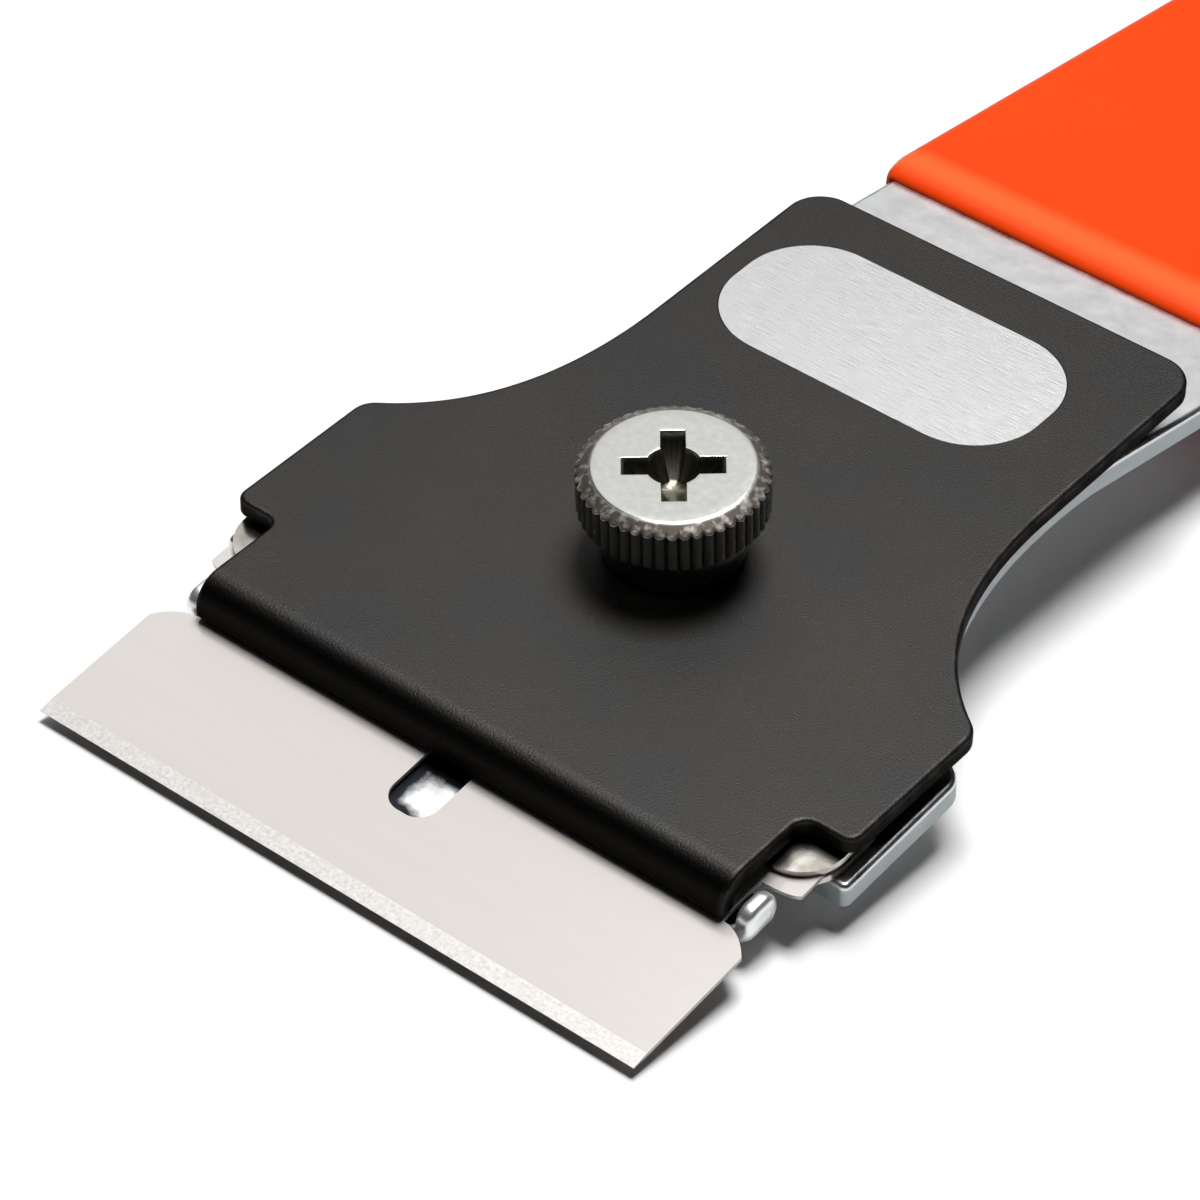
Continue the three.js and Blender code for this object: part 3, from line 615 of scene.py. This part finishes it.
class Finish(Nodes):
    """A procedural material around one Principled shader."""

    def __init__(self, name, **constants):
        self.material = bpy.data.materials.new(name)
        self.material.use_nodes = True
        super().__init__(self.material.node_tree)
        self.shader = self.tree.nodes["Principled BSDF"]
        self.shade(**constants)

    def shade(self, **inputs):
        """Values or wires into the shader, by socket names with underscores for blanks."""
        for key, value in inputs.items():
            self.feed(self.shader.inputs[key.replace("_", " ")], value)

    def where(self):
        return self.add("ShaderNodeTexCoord", output=3)

    def sheet(self):
        return self.add("ShaderNodeAttribute", {"attribute_name": "flat"}, output=1)

    def edge(self):
        return self.add("ShaderNodeAttribute", {"attribute_name": "rolled"}, output=2)

    def noise(self, coordinates, scale, detail=3.0, stretch=(1, 1, 1), roughness=0.5):
        """Noise from 0 to 1 about 0.5, on coordinates stretched along each axis."""
        moved = self.add("ShaderNodeMapping", values={"Vector": coordinates, "Scale": stretch})
        return self.add("ShaderNodeTexNoise", values={
            "Vector": moved, "Scale": scale, "Detail": detail, "Roughness": roughness})

    def ramp(self, value, *stops):
        return self.add("ShaderNodeValToRGB", {"stops": stops}, {0: value})

    def grade(self, length, span, *stops):
        """A grey from stop to stop of a length in millimetres: the ramp at the length's share of a
        span."""
        return self.ramp(length / span, *((at / span, grey) for at, grey in stops))

    def fall(self, value, start, end):
        """1 up to the start, 0 from the end on, and a straight line between them."""
        return self.add("ShaderNodeMapRange", values={
            "Value": value, "From Min": start, "From Max": end, "To Min": 1.0, "To Max": 0.0})

    def magnitude(self, value):
        return self.add("ShaderNodeMath", {"operation": "ABSOLUTE"}, {0: value})

    def least(self, first, second):
        return self.add("ShaderNodeMath", {"operation": "MINIMUM"}, {0: first, 1: second})

    def most(self, first, second):
        return self.add("ShaderNodeMath", {"operation": "MAXIMUM"}, {0: first, 1: second})

    def below(self, value, limit):
        """1 where the value is less than the limit, 0 elsewhere."""
        return self.add("ShaderNodeMath", {"operation": "LESS_THAN"}, {0: value, 1: limit})

    def part(self, vector, axis):
        return self.add("ShaderNodeSeparateXYZ", values={0: vector}, output=axis)

    def mix(self, share, first, second):
        """A colour between two, by a share from 0 to 1."""
        return self.add("ShaderNodeMix", {"data_type": "RGBA"}, {0: share, 6: first, 7: second}, output=2)

    def bump(self, height, strength, distance):
        normal = self.add("ShaderNodeBump", values={
            "Strength": strength, "Distance": distance, "Height": height})
        self.shade(Normal=normal)


BADGE_MIDDLE = (-1.35, 47.7)
BADGE_HALF_LENGTH = 10.1
BADGE_HALF_DEPTH = 5.05
BADGE_CORNER = 4.4
BADGE_BLUR = 0.04


def badge_mask(finish, flat):
    """1 inside a rounded rectangle on the clamp plate's top, 0 outside: the distance to a smaller box,
    rounded."""
    across = finish.magnitude(finish.part(flat, 0) - BADGE_MIDDLE[0])
    along = finish.magnitude(finish.part(flat, 1) - BADGE_MIDDLE[1])
    beside = finish.most(across - (BADGE_HALF_LENGTH - BADGE_CORNER), 0.0)
    beyond = finish.most(along - (BADGE_HALF_DEPTH - BADGE_CORNER), 0.0)
    distance = (beside * beside + beyond * beyond) ** 0.5
    inside = finish.fall(distance, BADGE_CORNER - BADGE_BLUR, BADGE_CORNER + BADGE_BLUR)
    on_top = finish.add("ShaderNodeMath", {"operation": "GREATER_THAN"},
                        {0: finish.part(flat, 2), 1: CLAMP_THICKNESS * 0.9})
    return inside * on_top


def black_oxide():
    """Satin black coat with a fine grain, brown tints, bare brushed steel in a rounded field, worn rolled
    edges, and painted shade that darkens the turned-down lip, the side walls and the underside."""
    finish = Finish("black_oxide", Metallic=1.0, Specular_Tint=(0.45, 0.45, 0.45, 1))
    flat = finish.sheet()
    grain = finish.noise(flat, 9.0, 4.0, roughness=0.6)
    cloud = finish.noise(flat, 0.12, 4.0)
    tint = finish.ramp(cloud, (0.35, 0), (0.7, 1))
    coat = finish.mix(tint, (0.038, 0.038, 0.038, 1), (0.044, 0.040, 0.036, 1))
    # Painted shade: the coat is darkened on the turned-down lip and on the walls and underside.
    lip = finish.fall(finish.part(flat, 1), LIP_FOOT - 0.2, LIP_FOOT + LIP_BEND_RADIUS)
    wall = finish.ramp(finish.part(flat, 2) / CLAMP_THICKNESS, (0.72, 1), (0.9, 0))
    coat = finish.mix(finish.most(lip, wall), coat, (0.012, 0.011, 0.010, 1))
    badge = badge_mask(finish, flat)
    brushed = finish.noise(flat, 3.0, 3.0, (0.25, 6, 1))
    bare = finish.mix(brushed, (0.42, 0.42, 0.42, 1), (0.66, 0.66, 0.66, 1))
    wear = finish.edge() * finish.ramp(finish.noise(flat, 0.9, 4.0), (0.42, 0), (0.75, 1))
    worn = finish.mix(wear * 0.15, coat, (0.22, 0.21, 0.2, 1))
    finish.shade(Base_Color=finish.mix(badge, worn, bare),
                 Roughness=0.42 + (grain - 0.5) * 0.25 - badge * 0.08 + (brushed - 0.5) * badge * 0.2)
    finish.bump(grain * (1 - badge) + badge * 2 + brushed * badge * 0.5, 0.8, 0.00004)
    return finish.material


# Painted shade on the tongue where it shows through the blade's slot: a dark rim in front, on the left and
# before the lip
SLOT_SHADE_FRONT = TONGUE_FRONT + 0.75
SLOT_SHADE_SLANT = 0.3
SLOT_SHADE_LEFT = -0.95
SLOT_SHADE_REAR = 8.75
SLOT_SHADE_BLUR = 0.6
SLOT_SHADE_WAVE = 0.9
SLOT_SPAN = 10

# Front part of the strip, and the span of the grade that finds its lugs
FRONT_MARGIN = 0.5
LUG_SPAN = 40
LUG_FADE = 0.4


def slot_painted_shade(finish, across, along, mottle):
    """1 in the painted shade along the rim and 0 in the bright middle: the least distance to its three
    sides, made wavy, and faded out beyond the slot's left end."""
    from_front = along + across * SLOT_SHADE_SLANT - SLOT_SHADE_FRONT
    inside = finish.least(finish.least(from_front, across - SLOT_SHADE_LEFT), SLOT_SHADE_REAR - along)
    rim = finish.fall(inside + (mottle - 0.5) * SLOT_SHADE_WAVE, 0.0, SLOT_SHADE_BLUR)
    return rim * finish.ramp(across / SLOT_SPAN + 0.5, (0.25, 0), (0.27, 1))


def zinc():
    """Bright zinc plate: mottled crystals, faint scratches along the strip, pale and duller sheared
    walls, a painted highlight on the lugs and painted shade in a dark rim on the tongue."""
    finish = Finish("zinc")
    flat = finish.sheet()
    mottle = finish.noise(flat, 0.7, 5.0, roughness=0.62)
    scratch = finish.noise(flat, 2.2, 3.0, (4, 0.16, 1))
    across, along = finish.part(flat, 0), finish.part(flat, 1)
    depth = finish.part(flat, 2) / -PLATE_THICKNESS
    front = finish.below(along, LUG_REAR + FRONT_MARGIN)
    wall = finish.ramp(depth, (0.14, 0), (0.26, 1), (0.94, 1), (0.99, 0)) * (1 - front)
    aside = finish.magnitude(across)
    turned_up = front * finish.grade(aside, LUG_SPAN, (LUG_INNER - LUG_FADE, 0), (LUG_INNER, 1))
    crystals = finish.ramp(mottle, (0.3, 0), (0.7, 1))
    face = finish.mix(crystals, (0.66, 0.67, 0.69, 1), (0.84, 0.85, 0.85, 1))
    # Painted highlight: the turned-up lugs are lightened towards white.
    face = finish.mix(turned_up * 0.8, face, (0.97, 1.0, 0.99, 1))
    # Painted shade on the tongue's top inside the blade's slot.
    rim = slot_painted_shade(finish, across, along, mottle) * front * finish.below(depth, 0.1)
    plated = finish.mix(rim, face, (0.02, 0.021, 0.024, 1))
    dull = wall + turned_up * 0.2
    finish.shade(Base_Color=finish.mix(wall, plated, (0.62, 0.69, 0.71, 1)), Metallic=1 - dull * 0.6,
                 Roughness=0.2 + mottle * 0.22 + dull * 0.2 + (scratch - 0.5) * 0.12)
    finish.bump(mottle + scratch * 0.4, 0.25, 0.00003)
    return finish.material


BEVEL_DEPTH = 0.94 * MM
BEVEL_BLUR = 0.02 * MM


def blade_steel():
    """Fine satin strip steel with rolling lines along the edge, and a rougher, speckled ground bevel at
    the cutting edge."""
    finish = Finish("blade_steel")
    spot = finish.where()
    rolling = finish.noise(spot, 900.0, 3.0, (0.06, 1, 1))
    speck = finish.noise(spot, 5200.0, 2.0)
    heel = CAD_BOX[0][1] + BEVEL_DEPTH
    ground = finish.fall(finish.part(spot, 1), heel - BEVEL_BLUR, heel + BEVEL_BLUR)
    satin = finish.mix(rolling, (0.70, 0.66, 0.625, 1), (0.74, 0.70, 0.665, 1))
    speckled = finish.ramp(speck, (0.3, 0), (0.7, 1))
    bevel = finish.mix(speckled, (0.57, 0.55, 0.53, 1), (0.75, 0.73, 0.70, 1))
    finish.shade(Base_Color=finish.mix(ground, satin, bevel), Metallic=0.3,
                 Roughness=0.18 + (speck - 0.5) * 0.06 + ground * 0.32)
    finish.bump(speck + rolling * 0.3, 0.18, 0.00001)
    return finish.material


def spine_steel():
    """Folded bright strip with rubbed, slightly tarnished patches."""
    finish = Finish("spine_steel", Metallic=1.0)
    spot = finish.where()
    rubbed = finish.noise(spot, 700.0, 5.0)
    bright = finish.ramp(rubbed, (0.4, 0), (0.65, 1))
    colour = finish.mix(bright, (0.40, 0.375, 0.33, 1), (0.62, 0.59, 0.55, 1))
    finish.shade(Base_Color=colour, Roughness=0.12 + rubbed * 0.14)
    finish.bump(rubbed, 0.3, 0.00003)
    return finish.material


SCREW_SPAN = 8


def turned_zinc():
    """Turned and plated: a clean top, painted shade in the knurl's valleys and lightly over its whole band
    with the crests left at the plated tone, a brown chamfer with bright specks and painted shade in the
    recess."""
    finish = Finish("turned_zinc")
    flat = finish.sheet()
    crest = finish.edge()
    fine = finish.noise(flat, 2.6, 4.0)
    rubbed = finish.noise(flat, 1.1, 4.0)
    level = finish.part(flat, 2)
    rim = SHOULDER_HEIGHT + KNURL_HEIGHT
    on_knurl = finish.grade(level, SCREW_SPAN, (SHOULDER_HEIGHT - 0.05, 0), (SHOULDER_HEIGHT, 1),
                            (rim - 0.05, 1), (rim + 0.08, 0))
    # Painted shade: the knurl's valleys are darkened, and its whole band a little.
    valley = (1 - crest) * on_knurl
    bright = finish.ramp(rubbed, (0.35, 0), (0.75, 1)) * 0.3
    plated = finish.mix(bright, (0.56, 0.56, 0.535, 1), (0.61, 0.61, 0.59, 1))
    knurled = finish.mix(valley * 0.9 + on_knurl * 0.1, plated, (0.10, 0.10, 0.08, 1))
    radius = finish.add("ShaderNodeVectorMath", {"operation": "LENGTH"}, {
        0: finish.add("ShaderNodeMapping", values={"Vector": flat, "Scale": (1, 1, 0)})}, output="Value")
    top = rim + HEAD_CHAMFER_HEIGHT
    deep = finish.grade(level, SCREW_SPAN, (top - 0.3, 1), (top - 0.03, 0))
    middle = finish.grade(radius, SCREW_SPAN, (RECESS_HALF_SPAN + 0.1, 1), (RECESS_HALF_SPAN + 0.2, 0))
    recess = deep * middle
    cone = finish.grade(level, SCREW_SPAN, (rim - 0.04, 0), (rim + 0.02, 1),
                        (top - 0.06, 1), (top - 0.03, 0))
    chamfer = cone * (1 - recess)
    rubbing = finish.ramp(finish.noise(flat, 2.4, 5.0), (0.5, 0), (0.72, 1))
    # Painted shade: the cross recess is darkened.
    turned = finish.mix(chamfer, finish.mix(recess * 0.85, knurled, (0.10, 0.092, 0.06, 1)),
                        finish.mix(rubbing, (0.13, 0.11, 0.09, 1), (0.56, 0.55, 0.52, 1)))
    finish.shade(Base_Color=turned, Metallic=1 - chamfer * 0.3,
                 Roughness=0.17 + fine * 0.14 + recess * 0.1 + chamfer * 0.25)
    finish.bump(fine, 0.2, 0.00002)
    return finish.material


def nut_zinc():
    """The press nut: turned and plated, with a fine grain."""
    finish = Finish("nut_zinc", Metallic=1.0)
    fine = finish.noise(finish.where(), 2600.0, 4.0)
    finish.shade(Base_Color=(0.62, 0.62, 0.59, 1), Roughness=0.2 + fine * 0.16)
    return finish.material


MOUTH_SPAN = 6


def vinyl():
    """Smooth dipped vinyl: a soft satin with a faint waviness, tiny specks and a painted highlight in a
    lighter band just behind the front edge.
    """
    finish = Finish("vinyl", Specular_IOR_Level=0.07)
    flat = finish.sheet()
    wave = finish.noise(flat, 0.09, 2.0)
    skin = finish.noise(flat, 4.5, 3.0)
    behind = finish.part(flat, 1) - GRIP_FRONT
    # Painted highlight: a lighter band just behind the grip's front edge.
    rim = finish.grade(behind, MOUTH_SPAN, (0.3, 0), (1.2, 1), (2.04, 1), (3.3, 0))
    body = finish.mix(wave, (0.93, 0.056, 0.002, 1), (0.95, 0.066, 0.003, 1))
    finish.shade(Base_Color=finish.mix(rim * 0.8, body, (0.97, 0.15, 0.035, 1)),
                 Roughness=0.46 + (skin - 0.5) * 0.12)
    finish.bump(wave * 3 + skin * 0.25, 0.25, 0.00003)
    return finish.material


# Bench, light and camera

BENCH_HALF = 1.5
BENCH_WHITE = (0.93, 0.93, 0.93, 1)
BENCH_UNSEEN = (0.22, 0.22, 0.22, 1)


def make_bench():
    """A floor that is white where the camera or a reflection sees it, keeps the shadow and bounces little
    light."""
    corners = BENCH_HALF * np.array([[-1, -1, 0], [1, -1, 0], [1, 1, 0], [-1, 1, 0]])
    mesh = bpy.data.meshes.new("bench")
    mesh.from_pydata(corners.tolist(), [], [(0, 1, 2, 3)])
    bench = bpy.data.objects.new("bench", mesh)
    bpy.context.scene.collection.objects.link(bench)
    finish = Finish("bench_white", Roughness=0.9, Specular_IOR_Level=0.0)
    rays = [finish.add("ShaderNodeLightPath", output=output) for output in
            ("Is Camera Ray", "Is Glossy Ray", "Is Transmission Ray")]
    seen = rays[0] + rays[1] + rays[2]
    finish.shade(Base_Color=finish.mix(seen, BENCH_UNSEEN, BENCH_WHITE))
    mesh.materials.append(finish.material)


def make_lamp(name, direction, distance, size, power):
    """A square soft box that looks at the head from a direction."""
    lamp = bpy.data.lights.new(name, "AREA")
    lamp.shape = "SQUARE"
    lamp.size = size
    lamp.energy = power
    aim = HEAD_ORIGIN + 30 * MM * HEAD_REAR
    away = np.array(direction, float) / np.linalg.norm(direction)
    holder = bpy.data.objects.new(name, lamp)
    side = np.cross([0, 0, 1], away)
    side /= np.linalg.norm(side)
    turn = np.stack([side, np.cross(away, side), away], 1)
    holder.matrix_world = Matrix.Translation(aim + distance * away) @ Matrix(turn.tolist()).to_4x4()
    bpy.context.scene.collection.objects.link(holder)


SKY_AXIS = (-0.5, 0.45, 0.74)
SKY_DARK = 0.005
SKY_BRIGHT = 0.02
SKY_FADE = (0.2, 0.6)


def make_world():
    """A studio sky, bright from the upper left and rear and dark in front: its strength rises smoothly
    with the direction's share along an axis."""
    world = bpy.data.worlds.new("studio")
    world.use_nodes = True
    sky = Nodes(world.node_tree)
    direction = sky.add("ShaderNodeTexCoord", output="Generated")
    share = sky.add("ShaderNodeVectorMath", {"operation": "DOT_PRODUCT"}, {0: direction, 1: SKY_AXIS},
                    output="Value")
    strength = sky.add("ShaderNodeMapRange", {"interpolation_type": "SMOOTHSTEP"}, {
        "Value": share, "From Min": SKY_FADE[0], "From Max": SKY_FADE[1],
        "To Min": SKY_DARK, "To Max": SKY_BRIGHT})
    background = sky.tree.nodes["Background"]
    sky.feed(background.inputs["Color"], (1, 1, 1, 1))
    sky.feed(background.inputs["Strength"], strength)
    bpy.context.scene.world = world


# Camera fitted to the photograph, with its offset in millimetres along its own axes
CAMERA_TURN = np.radians(35.3926)
CAMERA_TILT = np.radians(37.2798)
CAMERA_ROLL = np.radians(-5.4514)
CAMERA_FOCAL_PIXELS = 4900
CAMERA_OFFSET = (-32.7742, -18.0764, 285.1032)
FRAME_PIXELS = 1200
SENSOR_WIDTH = 36.0


def make_camera():
    """A camera whose own axes are the turned right, up and back directions; it stands at its offset along
    them."""
    right = np.array([np.cos(CAMERA_TURN), np.sin(CAMERA_TURN), 0])
    back = np.array([np.sin(CAMERA_TURN) * np.cos(CAMERA_TILT), -np.cos(CAMERA_TURN) * np.cos(CAMERA_TILT),
                     np.sin(CAMERA_TILT)])
    up = np.cross(back, right)
    cosine, sine = np.cos(CAMERA_ROLL), np.sin(CAMERA_ROLL)
    axes = np.stack([cosine * right - sine * up, sine * right + cosine * up, back], 1)
    lens = bpy.data.cameras.new("camera")
    lens.sensor_width = SENSOR_WIDTH
    lens.lens = CAMERA_FOCAL_PIXELS / FRAME_PIXELS * SENSOR_WIDTH
    lens.clip_start = 0.01
    camera = bpy.data.objects.new("camera", lens)
    eye = axes @ np.array(CAMERA_OFFSET) * MM
    camera.matrix_world = Matrix.Translation(eye) @ Matrix(axes.tolist()).to_4x4()
    bpy.context.scene.collection.objects.link(camera)
    bpy.context.scene.camera = camera


def dress(node, material):
    """A carried-over CAD node with a finish of its own."""
    slots = frame["nodes"][node].data.materials
    slots.clear()
    slots.append(material)


bpy.context.scene.view_settings.view_transform = "Standard"
make_camera()
make_world()
make_bench()
make_lamp("key", direction=(-0.06, 0.16, 1.0), distance=0.7, size=0.28, power=5.5)
make_lamp("rear_panel", direction=(-0.48, 0.55, 0.68), distance=0.6, size=0.5, power=0.7)

make_plate("clamp_plate_skin", clamp_outline(), CLAMP_THICKNESS, (CLAMP_TOP_ROLL, CLAMP_UNDER_ROLL),
           (SCREW_PLACE / np.cos(CLAMP_TILT), CLAMP_HOLE_RADIUS), PLATE_NEAR, bent_lip, black_oxide(),
           "clamp", "black_oxide", top=CLAMP_THICKNESS, tilt=CLAMP_TILT, z=CLAMP_RISE)
make_plate("handle_plate_skin", strip_outline(), PLATE_THICKNESS, strip_rolls(strip_outline()),
           (SCREW_PLACE, SPIGOT_HOLE_RADIUS), LUG_NEAR, bent_strip, zinc(), "handle", "zinc")
make_grip(vinyl())
make_thumb_screw(turned_zinc())
dress("blade", blade_steel())
dress("blade_spine", spine_steel())
dress("press_nut", nut_zinc())
